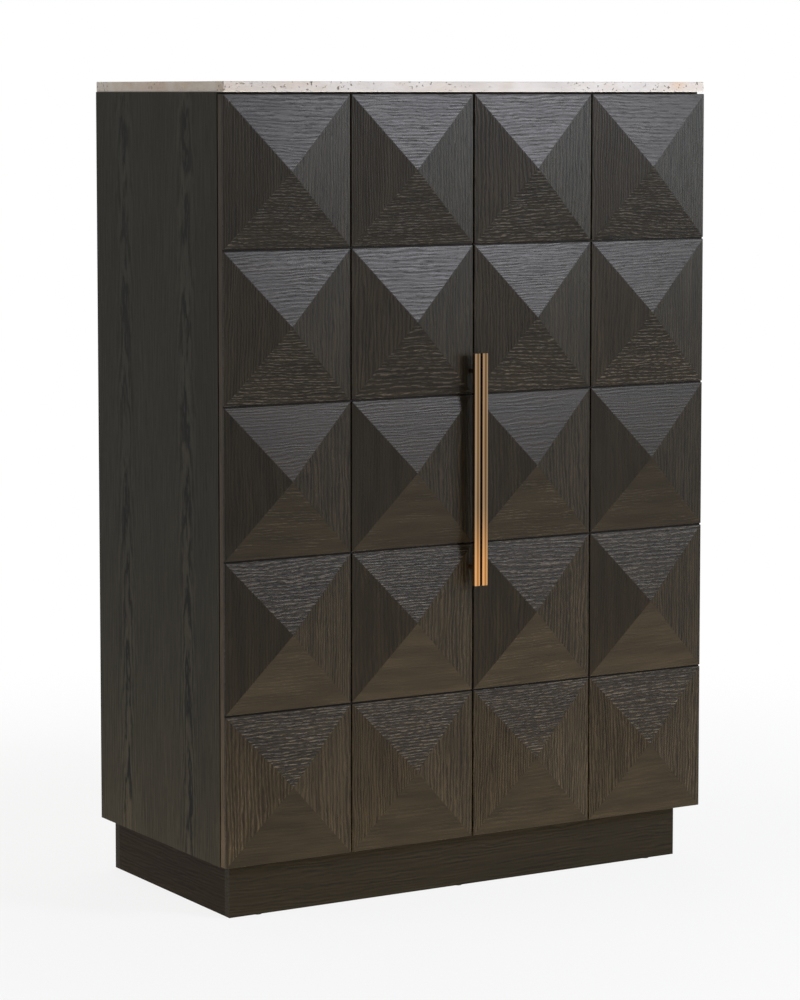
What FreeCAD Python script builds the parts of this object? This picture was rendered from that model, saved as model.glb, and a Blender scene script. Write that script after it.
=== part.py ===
import FreeCAD, Part
import os
import re

# A tall two-door storage cabinet. X runs along the front from left to right, Y from front to back, Z up.
# The origin is on the floor, under the middle of the overall box.

# Driving sizes in millimetres
SIZES = {
    # Carcass
    "cabinet_width": 1100,
    "carcass_height": 1462,
    "carcass_depth": 510,
    "side_thickness": 18,
    "deck_thickness": 18,
    "divider_thickness": 18,
    "divider_setback": 20,
    "back_thickness": 8,
    "back_groove_depth": 8,
    "back_groove_clearance": 0.2,
    "rail_thickness": 18,
    "rail_height": 90,
    "wall_hole_radius": 2.75,
    "wall_hole_spacing": 600,
    # Stone slab
    "stone_thickness": 20,
    "stone_side_inset": 1,
    "stone_arris": 1.2,
    # Plinth
    "plinth_height": 106.5,
    "plinth_thickness": 18,
    "plinth_side_inset": 31,
    "plinth_front_inset": 22,
    "block_width": 40,
    "block_height": 70,
    "block_screw_radius": 2.5,
    "block_screw_bite": 12,
    "block_screw_head_radius": 4.5,
    "block_screw_head_height": 3,
    "glide_height": 1.5,
    "glide_radius": 8,
    "glide_stem_radius": 1.5,
    "glide_stem_length": 10,
    "glide_end_inset": 65,
    # Dowels
    "dowel_radius": 4,
    "dowel_length": 30,
    "dowel_side_depth": 11,
    "dowel_clearance": 0.05,
    # Shelves and their pins
    "shelf_thickness": 18,
    "shelf_setback": 40,
    "shelf_end_clearance": 1,
    "shelf_back_clearance": 2,
    "shelf_pin_radius": 2.5,
    "shelf_pin_depth": 8,
    "shelf_pin_clearance": 0.05,
    "shelf_pin_drop": 3.5,
    "shelf_pin_inset": 60,
    "shelf_pin_pitch": 32,
    "ledge_length": 9,
    "ledge_width": 10,
    "ledge_thickness": 3,
    # Doors and their pyramid facings
    "door_meeting_gap": 3.5,
    "door_top_gap": 4,
    "door_bottom_gap": 1.5,
    "door_back_gap": 4,
    "core_thickness": 16,
    "tile_edge": 4,
    "tile_rise": 18,
    "tile_gap": 3,
    "tile_arris": 0.8,
    # Bar handles
    "handle_overhang": 35.5,
    "handle_width": 13,
    "handle_depth": 12,
    "handle_round": 3,
    "handle_projection": 31,
    "handle_edge_inset": 0.5,
    "post_radius": 4,
    "post_spacing": 384,
    "post_clearance": 0.1,
    "handle_screw_radius": 2,
    "handle_screw_bite": 6,
    "handle_screw_head_radius": 4,
    "handle_screw_head_height": 2.5,
    # Concealed hinges
    "hinge_end_distance": 110,
    "hinge_pin_edge": 8.5,
    "hinge_pin_depth": 9.5,
    "hinge_pin_radius": 1.5,
    "hinge_pin_end_clearance": 0.1,
    "hinge_pin_seat_clearance": 0.02,
    "hinge_running_clearance": 0.05,
    "barrel_wall": 1.45,
    "hook_height": 10,
    "hook_thickness": 2.5,
    "arm_thickness": 3,
    "arm_width": 8,
    "arm_height": 16,
    "arm_setback": 8,
    "arm_length": 52,
    "plate_thickness": 3,
    "plate_width": 20,
    "plate_height": 48,
    "plate_setback": 27,
    "plate_screw_spacing": 32,
    "plate_screw_radius": 3,
    "plate_screw_bite": 11,
    "plate_screw_head_radius": 4,
    "plate_screw_head_height": 2,
    "cup_radius": 17.5,
    "cup_wall": 1,
    "cup_depth": 14,
    "cup_edge": 3,
    "cup_clearance": 0.1,
    "ear_thickness": 1.2,
    "ear_width": 23,
    "ear_height": 58,
    "ear_offset": 5,
    "cup_screw_spacing": 45,
    "cup_screw_offset": 9.5,
    "cup_screw_radius": 1.75,
    "cup_screw_bite": 11,
    "cup_screw_head_radius": 3.5,
    "cup_screw_head_height": 1.8,
    # Shared by all cuts and holes
    "screw_clearance": 0.1,
    "hole_end_clearance": 0.4,
    "overrun": 1,
}

SIDES = ("left", "right")
COLUMNS = ("outer", "inner")
TILE_ROWS = 5
SHELF_LEVELS = 3
HINGES_PER_DOOR = 4
PIN_STEPS = (-1, 0, 1)
DOWEL_SHARES = (0.12, 0.5, 0.88)
RAIL_DOWEL_SHARES = (0.3, 0.7)
ENDS = (-1, 1)

# Axis directions as turns of a cylinder that stands along Z
TURNS = {
    "x": FreeCAD.Rotation(FreeCAD.Vector(0, 1, 0), 90),
    "y": FreeCAD.Rotation(FreeCAD.Vector(1, 0, 0), -90),
    "z": FreeCAD.Rotation(),
}

doc = FreeCAD.newDocument("storage_cabinet")
sheet = doc.addObject("Spreadsheet::Sheet", "sizes")
for row, (alias, value) in enumerate(SIZES.items(), 1):
    sheet.set(f"A{row}", alias)
    sheet.set(f"B{row}", str(value))
    sheet.setAlias(f"B{row}", alias)
doc.recompute()

nodes = []


def formula(text):
    """Turn named sizes into references to the sheet."""
    return re.sub(r"[a-z_]*[a-z]", refer, text)


def refer(word):
    name = word.group(0)
    return f"sizes.{name}" if name in SIZES else name


def add(kind, label, sizes, place=None, turn="z"):
    item = doc.addObject(kind, label)
    item.Label = label
    bind(item, sizes)
    if place is not None:
        set_place(item, place, TURNS[turn])
    return item


def bind(item, sizes):
    for name, text in sizes.items():
        item.setExpression(name, formula(text))


def set_place(item, place, rotation):
    item.Placement = FreeCAD.Placement(FreeCAD.Vector(), rotation)
    for axis, text in zip("xyz", place):
        item.setExpression(f"Placement.Base.{axis}", formula(text))


def box(label, x, y, z):
    """A box from (start, length) pairs along X, Y and Z."""
    sizes = {"Length": x[1], "Width": y[1], "Height": z[1]}
    return add("Part::Box", label, sizes, (x[0], y[0], z[0]))


def rod(label, along, radius, span, first, second):
    """A cylinder over span (start, length) along one axis, at two places on the other axes in order."""
    place = [first, second]
    place.insert("xyz".index(along), span[0])
    return add("Part::Cylinder", label, {"Radius": radius, "Height": span[1]}, place, along)


def join(label, items):
    fused = doc.addObject("Part::MultiFuse", label)
    fused.Label = label
    fused.Shapes = items
    return fused


def group(label, items):
    compound = doc.addObject("Part::Compound", label)
    compound.Label = label
    compound.Links = items
    return compound


def cut(label, base, tools):
    result = doc.addObject("Part::Cut", label)
    result.Label = label
    result.Base = base
    result.Tool = tools[0] if len(tools) == 1 else group(f"{label}_tools", tools)
    return result


def node(item):
    nodes.append(item)
    return item


def span(start, end):
    return (f"({start})", f"({end}) - ({start})")


def around(middle, length):
    return (f"({middle}) - ({length}) / 2", f"{length}")


def inward(side, start, end):
    """The X span between two distances inward from one outer face."""
    if side == "left":
        return span(f"-cabinet_width / 2 + ({start})", f"-cabinet_width / 2 + ({end})")
    return span(f"cabinet_width / 2 - ({end})", f"cabinet_width / 2 - ({start})")


def inward_at(side, distance):
    sign = "-" if side == "left" else ""
    return f"{sign}(cabinet_width / 2 - ({distance}))"


# Levels and planes that the pieces share
rear_y = "((carcass_depth + door_back_gap + core_thickness + tile_edge + handle_projection) / 2)"
front_y = f"({rear_y} - carcass_depth)"
back_face_y = f"({rear_y} - rail_thickness - back_thickness)"
core_back_y = f"({front_y} - door_back_gap)"
core_front_y = f"({core_back_y} - core_thickness)"
tile_plane_y = f"({core_front_y} - tile_edge)"
body_bottom_z = "(glide_height + plinth_height)"
body_top_z = f"({body_bottom_z} + carcass_height)"
inside_bottom_z = f"({body_bottom_z} + deck_thickness)"
inside_top_z = f"({body_top_z} - deck_thickness)"
door_bottom_z = f"({body_bottom_z} + door_bottom_gap)"
door_height = "(carcass_height - door_top_gap - door_bottom_gap)"
door_width = "((cabinet_width - door_meeting_gap) / 2)"
bay_end = "((cabinet_width - divider_thickness) / 2)"

carcass_y = span(front_y, rear_y)
deck_y = span(front_y, back_face_y)
body_z = (body_bottom_z, "carcass_height")
bottom_z = (body_bottom_z, "deck_thickness")
top_z = (inside_top_z, "deck_thickness")
inside_z = span(inside_bottom_z, inside_top_z)
between_sides_x = around("0", "(cabinet_width - 2 * side_thickness)")


def hinge_levels():
    """Heights of the hinges, evenly spread between the two end ones."""
    first = f"{door_bottom_z} + hinge_end_distance"
    step = f"({door_height} - 2 * hinge_end_distance) / {HINGES_PER_DOOR - 1}"
    return [f"({first} + {step} * {number})" for number in range(HINGES_PER_DOOR)]


def shelf_levels():
    """Undersides of the shelves, which part each bay into equal heights."""
    step = f"({inside_z[1]}) / {SHELF_LEVELS + 1}"
    numbers = range(1, SHELF_LEVELS + 1)
    return [f"({inside_bottom_z} + {step} * {number} - shelf_thickness / 2)" for number in numbers]


def pin_rows():
    """Front and rear lines of the shelf pins."""
    return (
        f"({front_y} + shelf_setback + shelf_pin_inset)",
        f"({back_face_y} - shelf_back_clearance - shelf_pin_inset)",
    )


# Dowels: each one is a piece and also a drill for the two panels that it joins
dowels = []


def dowel(along, start, first, second):
    number = len(dowels) + 1
    dowels.append(rod(f"dowel_{number}", along, "dowel_radius", (start, "dowel_length"), first, second))
    bore = (f"{start} - hole_end_clearance", "dowel_length + 2 * hole_end_clearance")
    return rod(f"dowel_bore_{number}", along, "dowel_radius + dowel_clearance", bore, first, second)


def end_dowels(side, places):
    """Dowels from a side panel into the end of a panel that meets it, at (y, z) places."""
    start = "side_thickness - dowel_side_depth"
    x = inward(side, start, f"{start} + dowel_length")[0]
    return [dowel("x", x, y, z) for y, z in places]


def divider_dowels(start):
    length = f"({deck_y[1]} - divider_setback)"
    places = [f"({front_y} + divider_setback + {length} * {share})" for share in DOWEL_SHARES]
    return [dowel("z", start, "0", y) for y in places]


deck_dowel_places = [f"({front_y} + ({deck_y[1]}) * {share})" for share in DOWEL_SHARES]
bottom_places = [(y, f"{body_bottom_z} + deck_thickness / 2") for y in deck_dowel_places]
top_places = [(y, f"{inside_top_z} + deck_thickness / 2") for y in deck_dowel_places]
rail_middle_y = f"{rear_y} - rail_thickness / 2"
rail_places = [(rail_middle_y, f"{body_top_z} - rail_height * {share}") for share in RAIL_DOWEL_SHARES]
bottom_bores = {side: end_dowels(side, bottom_places) for side in SIDES}
top_bores = {side: end_dowels(side, top_places) for side in SIDES}
rail_bores = {side: end_dowels(side, rail_places) for side in SIDES}
divider_foot_bores = divider_dowels(f"{inside_bottom_z} - dowel_side_depth")
divider_head_bores = divider_dowels(f"{inside_top_z} + dowel_side_depth - dowel_length")


# Shelf pins: holes above and below each pin let the shelf move by one pitch
def pin_holes(label, side, x):
    holes = []
    for level_number, level in enumerate(shelf_levels(), 1):
        for row_number, y in enumerate(pin_rows(), 1):
            for step in PIN_STEPS:
                name = f"{label}_pin_hole_{side}_{level_number}_{row_number}_{step + 2}"
                z = f"{level} - shelf_pin_drop + shelf_pin_pitch * {step}"
                holes.append(rod(name, "x", "shelf_pin_radius + shelf_pin_clearance", x, y, z))
    return holes


def shelf_pin(label, peg_x, ledge_x, y, level):
    peg = rod(f"{label}_peg", "x", "shelf_pin_radius", peg_x, y, f"{level} - shelf_pin_drop")
    ledge_z = (f"{level} - ledge_thickness", "ledge_thickness")
    ledge = box(f"{label}_ledge", ledge_x, around(y, "ledge_width"), ledge_z)
    return join(label, [peg, ledge])


def shelf_pins():
    pins = []
    hold = "ledge_length / 2"
    for side in SIDES:
        outer_peg = inward(side, "side_thickness - shelf_pin_depth", f"side_thickness + {hold}")
        outer_ledge = inward(side, "side_thickness", "side_thickness + ledge_length")
        inner_peg = inward(side, f"{bay_end} - {hold}", f"{bay_end} + shelf_pin_depth")
        inner_ledge = inward(side, f"{bay_end} - ledge_length", bay_end)
        for level_number, level in enumerate(shelf_levels(), 1):
            for row_number, y in enumerate(pin_rows(), 1):
                name = f"shelf_pin_{side}_{level_number}_{row_number}"
                pins.append(shelf_pin(f"{name}_outer", outer_peg, outer_ledge, y, level))
                pins.append(shelf_pin(f"{name}_inner", inner_peg, inner_ledge, y, level))
    return group("shelf_pins", pins)


def shelf(side, number, level):
    x = inward(side, "side_thickness + shelf_end_clearance", f"{bay_end} - shelf_end_clearance")
    y = span(f"{front_y} + shelf_setback", f"{back_face_y} - shelf_back_clearance")
    return box(f"shelf_{side}_{number}", x, y, (level, "shelf_thickness"))


# Screws have a round head and a plain shank, and drill their own holes
def screw(label, along, head, shank, head_radius, shank_radius, first, second):
    parts = [
        rod(f"{label}_head", along, head_radius, head, first, second),
        rod(f"{label}_shank", along, shank_radius, shank, first, second),
    ]
    return join(label, parts)


# Carcass panels
def hinge_plate_places():
    y = f"({front_y} + plate_setback + plate_width / 2)"
    half = "plate_screw_spacing / 2"
    return [(y, f"({level} + {half} * {end})") for level in hinge_levels() for end in ENDS]


def side_panel(side):
    label = f"side_{side}"
    blank = box(f"{label}_blank", inward(side, "0", "side_thickness"), carcass_y, body_z)
    groove_x = inward(side, "side_thickness - back_groove_depth", "side_thickness + overrun")
    groove_y = (f"{back_face_y} - back_groove_clearance", "back_thickness + 2 * back_groove_clearance")
    groove_z = (f"{body_bottom_z} - overrun", "carcass_height + 2 * overrun")
    tools = [box(f"{label}_groove", groove_x, groove_y, groove_z)]
    tools += bottom_bores[side] + top_bores[side] + rail_bores[side]
    mouth = "side_thickness + overrun"
    pin_x = inward(side, "side_thickness - shelf_pin_depth - hole_end_clearance", mouth)
    tools += pin_holes(label, side, pin_x)
    screw_x = inward(side, "side_thickness - plate_screw_bite - hole_end_clearance", mouth)
    for number, (y, z) in enumerate(hinge_plate_places(), 1):
        radius = "plate_screw_radius + screw_clearance"
        tools.append(rod(f"{label}_plate_hole_{number}", "x", radius, screw_x, y, z))
    return cut(label, blank, tools)


def block_corners():
    """Middles of the plinth's corner blocks."""
    x = "(cabinet_width / 2 - plinth_side_inset - plinth_thickness - block_width / 2)"
    front = f"({front_y} + plinth_front_inset + plinth_thickness + block_width / 2)"
    rear = f"({rear_y} - plinth_thickness - block_width / 2)"
    return [(f"{end} * {x}", y) for end in ENDS for y in (front, rear)]


def block_screw_bores():
    radius = "block_screw_radius + screw_clearance"
    bore_end = f"{body_bottom_z} + block_screw_bite + hole_end_clearance"
    z = span(f"{body_bottom_z} - block_height - overrun", bore_end)
    corners = enumerate(block_corners(), 1)
    return [rod(f"block_bore_{number}", "z", radius, z, x, y) for number, (x, y) in corners]


block_bores = block_screw_bores()


def bottom_panel():
    blank = box("bottom_panel_blank", between_sides_x, deck_y, bottom_z)
    bores = bottom_bores["left"] + bottom_bores["right"] + divider_foot_bores + block_bores
    return cut("bottom_panel", blank, bores)


def top_panel():
    blank = box("top_panel_blank", between_sides_x, deck_y, top_z)
    return cut("top_panel", blank, top_bores["left"] + top_bores["right"] + divider_head_bores)


def divider():
    y = span(f"{front_y} + divider_setback", back_face_y)
    blank = box("divider_blank", around("0", "divider_thickness"), y, inside_z)
    tools = divider_foot_bores + divider_head_bores
    for side in SIDES:
        x = inward(side, f"{bay_end} - overrun", f"{bay_end} + shelf_pin_depth + hole_end_clearance")
        tools = tools + pin_holes("divider", side, x)
    return cut("divider", blank, tools)


# Two holes through the rail and the back let the cabinet be screwed to a wall
def wall_bores():
    y = span(f"{back_face_y} - overrun", f"{rear_y} + overrun")
    z = f"{body_top_z} - rail_height / 2"
    bores = []
    for end in ENDS:
        x = f"wall_hole_spacing / 2 * {end}"
        bores.append(rod(f"wall_bore_{end + 2}", "y", "wall_hole_radius", y, x, z))
    return bores


def back_and_rail():
    bores = wall_bores()
    width = "(cabinet_width - 2 * side_thickness + 2 * back_groove_depth - 2 * back_groove_clearance)"
    back = box("back_panel_blank", around("0", width), (back_face_y, "back_thickness"), body_z)
    rail_y = (f"{rear_y} - rail_thickness", "rail_thickness")
    rail_z = (f"{body_top_z} - rail_height", "rail_height")
    rail = box("wall_rail_blank", between_sides_x, rail_y, rail_z)
    rail_tools = bores + rail_bores["left"] + rail_bores["right"]
    return cut("back_panel", back, bores), cut("wall_rail", rail, rail_tools)


# Plinth
plinth_z = ("glide_height", "plinth_height")
plinth_front_y = (f"{front_y} + plinth_front_inset", "plinth_thickness")
plinth_back_y = (f"{rear_y} - plinth_thickness", "plinth_thickness")


def plinth_board(label, y, glides):
    blank = box(f"{label}_blank", around("0", "(cabinet_width - 2 * plinth_side_inset)"), y, plinth_z)
    z = span("glide_height - overrun", "glide_height + glide_stem_length + hole_end_clearance")
    middle = f"{y[0]} + plinth_thickness / 2"
    radius = "glide_stem_radius + screw_clearance"
    tools = []
    for number, x in enumerate(glide_places(), 1):
        tools.append(rod(f"{label}_glide_hole_{number}", "z", radius, z, x, middle))
        disc = rod(f"{label}_glide_disc_{number}", "z", "glide_radius", ("0", "glide_height"), x, middle)
        stem_z = span("glide_height / 2", "glide_height + glide_stem_length")
        stem = rod(f"{label}_glide_stem_{number}", "z", "glide_stem_radius", stem_z, x, middle)
        glides.append(join(f"{label}_glide_{number}", [disc, stem]))
    return cut(label, blank, tools)


def glide_places():
    reach = "(cabinet_width / 2 - plinth_side_inset - glide_end_inset)"
    return [f"{reach} * {place}" for place in (-1, 0, 1)]


def plinth_end(side):
    x = inward(side, "plinth_side_inset", "plinth_side_inset + plinth_thickness")
    y = span(f"{plinth_front_y[0]} + plinth_thickness", plinth_back_y[0])
    return box(f"plinth_{side}", x, y, plinth_z)


def corner_blocks():
    z = (f"{body_bottom_z} - block_height", "block_height")
    blocks = []
    for number, (x, y) in enumerate(block_corners(), 1):
        blank = box(f"block_blank_{number}", around(x, "block_width"), around(y, "block_width"), z)
        blocks.append(cut(f"block_{number}", blank, [block_bores[number - 1]]))
    return group("plinth_corner_blocks", blocks)


def block_screws():
    seat = f"({body_bottom_z} - block_height)"
    head = (f"{seat} - block_screw_head_height", "block_screw_head_height")
    shank = span(f"{seat} - block_screw_head_height / 2", f"{body_bottom_z} + block_screw_bite")
    radii = ("block_screw_head_radius", "block_screw_radius")
    screws = []
    for number, (x, y) in enumerate(block_corners(), 1):
        screws.append(screw(f"block_screw_{number}", "z", head, shank, *radii, x, y))
    return group("plinth_screws", screws)


# Stone slab with a narrow arris all round
def stone_top():
    body = doc.addObject("PartDesign::Body", "stone_top")
    body.Label = "stone_top"
    width = "(cabinet_width - 2 * stone_side_inset)"
    slab = body.newObject("PartDesign::AdditiveBox", "stone_slab")
    bind(slab, {"Length": width, "Width": f"{rear_y} - {tile_plane_y}", "Height": "stone_thickness"})
    set_place(body, (f"-{width} / 2", tile_plane_y, body_top_z), TURNS["z"])
    doc.recompute()
    arris = body.newObject("PartDesign::Chamfer", "stone_edges")
    arris.Base = (slab, [f"Edge{number}" for number in range(1, len(slab.Shape.Edges) + 1)])
    bind(arris, {"Size": "stone_arris"})
    body.Tip = arris
    return body


# Hinges: a cup in the door turns about a pin that runs in the barrel of an arm on the carcass
pin_y = f"({core_back_y} - hinge_pin_depth)"
cup_middle = "(cup_edge + cup_radius)"
arm_face = "(side_thickness + plate_thickness)"
barrel_radius = "(hinge_pin_radius + hinge_running_clearance + barrel_wall)"
pin_reach = f"({cup_middle} - hinge_pin_edge + hinge_pin_radius)"
pin_length = f"(2 * (sqrt(cup_radius ^ 2 - {pin_reach} ^ 2) - hinge_pin_end_clearance))"


def hinge_arm(side, number, level):
    label = f"hinge_arm_{side}_{number}"
    x = inward_at(side, "hinge_pin_edge")
    hook_z = around(level, "hook_height")
    arm_start = f"({front_y} + arm_setback)"
    arm_end = f"({arm_start} + arm_length)"
    web_x = inward(side, arm_face, f"{arm_face} + arm_thickness")
    reach_x = inward(side, "hinge_pin_edge", f"{arm_face} + arm_thickness")
    channel_x = inward(side, arm_face, f"{arm_face} + arm_width")
    pieces = [
        rod(f"{label}_barrel", "z", barrel_radius, hook_z, x, pin_y),
        box(f"{label}_hook", reach_x, around(pin_y, "hook_thickness"), hook_z),
        box(f"{label}_web", web_x, span(f"{pin_y} - hook_thickness / 2", arm_end), hook_z),
        box(f"{label}_channel", channel_x, span(arm_start, arm_end), around(level, "arm_height")),
    ]
    bore_z = around(level, "(hook_height + 2 * overrun)")
    bore = rod(f"{label}_bore", "z", "hinge_pin_radius + hinge_running_clearance", bore_z, x, pin_y)
    return cut(label, join(f"{label}_blank", pieces), [bore])


def hinge_plate(side, number, level):
    label = f"hinge_plate_{side}_{number}"
    y = (f"{front_y} + plate_setback", "plate_width")
    x = inward(side, "side_thickness", arm_face)
    blank = box(f"{label}_blank", x, y, around(level, "plate_height"))
    hole_x = inward(side, "side_thickness - overrun", f"{arm_face} + overrun")
    holes = []
    for end in ENDS:
        z = f"{level} + plate_screw_spacing / 2 * {end}"
        middle = f"{y[0]} + plate_width / 2"
        radius = "plate_screw_radius + screw_clearance"
        holes.append(rod(f"{label}_hole_{end + 2}", "x", radius, hole_x, middle, z))
    return cut(label, blank, holes)


def plate_screws():
    screws = []
    radii = ("plate_screw_head_radius", "plate_screw_radius")
    for side in SIDES:
        head = inward(side, arm_face, f"{arm_face} + plate_screw_head_height")
        shank_end = f"{arm_face} + plate_screw_head_height / 2"
        shank = inward(side, "side_thickness - plate_screw_bite", shank_end)
        for number, (y, z) in enumerate(hinge_plate_places(), 1):
            screws.append(screw(f"plate_screw_{side}_{number}", "x", head, shank, *radii, y, z))
    return group("hinge_plate_screws", screws)


def hinge_cup(side, number, level):
    label = f"{side}_hinge_cup_{number}"
    x = inward_at(side, cup_middle)
    ear_middle = f"({cup_middle} + ear_offset)"
    ear_x = inward(side, f"{ear_middle} - ear_width / 2", f"{ear_middle} + ear_width / 2")
    cup_y = span(f"{core_back_y} - cup_depth", f"{core_back_y} + ear_thickness")
    hollow_y = span(f"{core_back_y} - cup_depth + cup_wall", f"{core_back_y} + ear_thickness + overrun")
    ear_y = (core_back_y, "ear_thickness")
    cup = rod(f"{label}_cup", "y", "cup_radius", cup_y, x, level)
    ears = box(f"{label}_ears", ear_x, ear_y, around(level, "ear_height"))
    seat_radius = "hinge_pin_radius + hinge_pin_seat_clearance"
    seat_z = around(level, f"({pin_length} + 2 * hole_end_clearance)")
    tools = [
        rod(f"{label}_hollow", "y", "cup_radius - cup_wall", hollow_y, x, level),
        rod(f"{label}_seat", "z", seat_radius, seat_z, inward_at(side, "hinge_pin_edge"), pin_y),
    ]
    ear_hole_y = span(f"{core_back_y} - overrun", f"{core_back_y} + ear_thickness + overrun")
    tools += cup_screw_bores(label, side, level, ear_hole_y)
    return cut(label, join(f"{label}_blank", [cup, ears]), tools)


def cup_screw_places(side, level):
    x = inward_at(side, f"{cup_middle} + cup_screw_offset")
    return [(x, f"{level} + cup_screw_spacing / 2 * {end}") for end in ENDS]


def cup_screw_bores(label, side, level, y):
    radius = "cup_screw_radius + screw_clearance"
    places = enumerate(cup_screw_places(side, level), 1)
    return [rod(f"{label}_screw_hole_{number}", "y", radius, y, x, z) for number, (x, z) in places]


def cup_screws(side):
    screws = []
    head = (f"{core_back_y} + ear_thickness", "cup_screw_head_height")
    shank_end = f"{core_back_y} + ear_thickness + cup_screw_head_height / 2"
    shank = span(f"{core_back_y} - cup_screw_bite", shank_end)
    radii = ("cup_screw_head_radius", "cup_screw_radius")
    for level in hinge_levels():
        for x, z in cup_screw_places(side, level):
            screws.append(screw(f"{side}_cup_screw_{len(screws) + 1}", "y", head, shank, *radii, x, z))
    return group(f"{side}_hinge_cup_screws", screws)


def hinge_pins(side):
    x = inward_at(side, "hinge_pin_edge")
    pins = []
    for number, level in enumerate(hinge_levels(), 1):
        z = around(level, pin_length)
        pins.append(rod(f"{side}_hinge_pin_{number}", "z", "hinge_pin_radius", z, x, pin_y))
    return group(f"{side}_hinge_pins", pins)


# Bar handles: a bar on two hollow posts, held by screws from inside the door
handle_start = f"({door_width} - handle_edge_inset - handle_width)"
handle_middle = f"({handle_start} + handle_width / 2)"
handle_level = f"({door_bottom_z} + {door_height} / 2)"
bar_front_y = f"({tile_plane_y} - handle_projection)"
bar_back_y = f"({bar_front_y} + handle_depth)"
handle_length = "(post_spacing + 2 * handle_overhang)"
post_levels = [f"({handle_level} + post_spacing / 2 * {end})" for end in ENDS]


def handle_rods(label, side, radius, y):
    x = inward_at(side, handle_middle)
    return [rod(f"{label}_{number}", "y", radius, y, x, z) for number, z in enumerate(post_levels, 1)]


def handle_bar(side):
    label = f"{side}_handle_bar"
    body = doc.addObject("PartDesign::Body", f"{label}_blank")
    stock = body.newObject("PartDesign::AdditiveBox", f"{label}_stock")
    bind(stock, {"Length": "handle_width", "Width": "handle_depth", "Height": handle_length})
    x = inward(side, handle_start, f"{handle_start} + handle_width")[0]
    set_place(body, (x, bar_front_y, f"{handle_level} - {handle_length} / 2"), TURNS["z"])
    doc.recompute()
    middle_y = stock.Shape.BoundBox.Center.y
    front = []
    for number, edge in enumerate(stock.Shape.Edges, 1):
        upright = edge.tangentAt(edge.FirstParameter).z != 0
        if upright and edge.CenterOfMass.y < middle_y:
            front.append(f"Edge{number}")
    rounding = body.newObject("PartDesign::Fillet", f"{label}_rounding")
    rounding.Base = (stock, front)
    bind(rounding, {"Radius": "handle_round"})
    body.Tip = rounding
    bite = span(f"{bar_back_y} - handle_screw_bite - hole_end_clearance", f"{bar_back_y} + overrun")
    holes = handle_rods(f"{label}_hole", side, "handle_screw_radius + screw_clearance", bite)
    return cut(label, body, holes)


def handle_posts(side):
    label = f"{side}_handle_post"
    tubes = handle_rods(f"{label}_tube", side, "post_radius", span(bar_back_y, core_front_y))
    bore_y = span(f"{bar_back_y} - overrun", f"{core_front_y} + overrun")
    bores = handle_rods(f"{label}_bore", side, "handle_screw_radius + screw_clearance", bore_y)
    pairs = enumerate(zip(tubes, bores), 1)
    posts = [cut(f"{label}_{number}", tube, [bore]) for number, (tube, bore) in pairs]
    return group(f"{side}_handle_posts", posts)


def handle_screws(side):
    x = inward_at(side, handle_middle)
    head = (core_back_y, "handle_screw_head_height")
    shank = span(f"{bar_back_y} - handle_screw_bite", f"{core_back_y} + handle_screw_head_height / 2")
    radii = ("handle_screw_head_radius", "handle_screw_radius")
    screws = []
    for number, z in enumerate(post_levels, 1):
        screws.append(screw(f"{side}_handle_screw_{number}", "y", head, shank, *radii, x, z))
    return group(f"{side}_handle_screws", screws)


# Doors: a flat core with the pyramid facings on its front
def door_core(side):
    label = f"{side}_door_core"
    core_y = (core_front_y, "core_thickness")
    blank = box(f"{label}_blank", inward(side, "0", door_width), core_y, (door_bottom_z, door_height))
    through = span(f"{core_front_y} - overrun", f"{core_back_y} + overrun")
    tools = handle_rods(f"{label}_handle_hole", side, "handle_screw_radius + screw_clearance", through)
    cup_y = span(f"{core_back_y} - cup_depth - cup_clearance", f"{core_back_y} + overrun")
    pilot_y = span(f"{core_back_y} - cup_screw_bite - hole_end_clearance", f"{core_back_y} + overrun")
    for number, level in enumerate(hinge_levels(), 1):
        name = f"{label}_cup_{number}"
        x = inward_at(side, cup_middle)
        tools.append(rod(name, "y", "cup_radius + cup_clearance", cup_y, x, level))
        tools += cup_screw_bores(name, side, level, pilot_y)
    return cut(label, blank, tools)


tile_width = f"(({door_width} - tile_gap * {len(COLUMNS) - 1}) / {len(COLUMNS)})"
tile_height = f"(({door_height} - tile_gap * {TILE_ROWS - 1}) / {TILE_ROWS})"


def pyramid(label, x, z):
    """A square-edged block that rises from a narrow arris to a point, with its rise turned to the front."""
    body = doc.addObject("PartDesign::Body", label)
    body.Label = label
    edge = body.newObject("PartDesign::AdditiveBox", f"{label}_edge")
    bind(edge, {"Length": tile_width, "Width": "tile_edge - tile_arris", "Height": tile_height})
    arris = body.newObject("PartDesign::AdditiveWedge", f"{label}_arris")
    bind(arris, wedge("0", "tile_arris", "tile_edge - tile_arris", "tile_edge"))
    point = body.newObject("PartDesign::AdditiveWedge", f"{label}_point")
    bind(point, wedge("tile_arris", None, "tile_edge", "tile_edge + tile_rise"))
    half_turn = FreeCAD.Rotation(FreeCAD.Vector(0, 0, 1), 180)
    set_place(body, (f"{x[0]} + {tile_width}", core_front_y, z), half_turn)
    return body


def wedge(inset, top_inset, start, end):
    """Sizes of a wedge between two insets from the tile's outline; with no top inset it ends in a point."""
    sizes = {"Ymin": start, "Ymax": end}
    for axis, length in (("X", tile_width), ("Z", tile_height)):
        near = f"{length} / 2" if top_inset is None else top_inset
        sizes[f"{axis}min"] = inset
        sizes[f"{axis}max"] = f"{length} - {inset}"
        sizes[f"{axis}2min"] = near
        sizes[f"{axis}2max"] = f"{length} - {near}"
    return sizes


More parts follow.
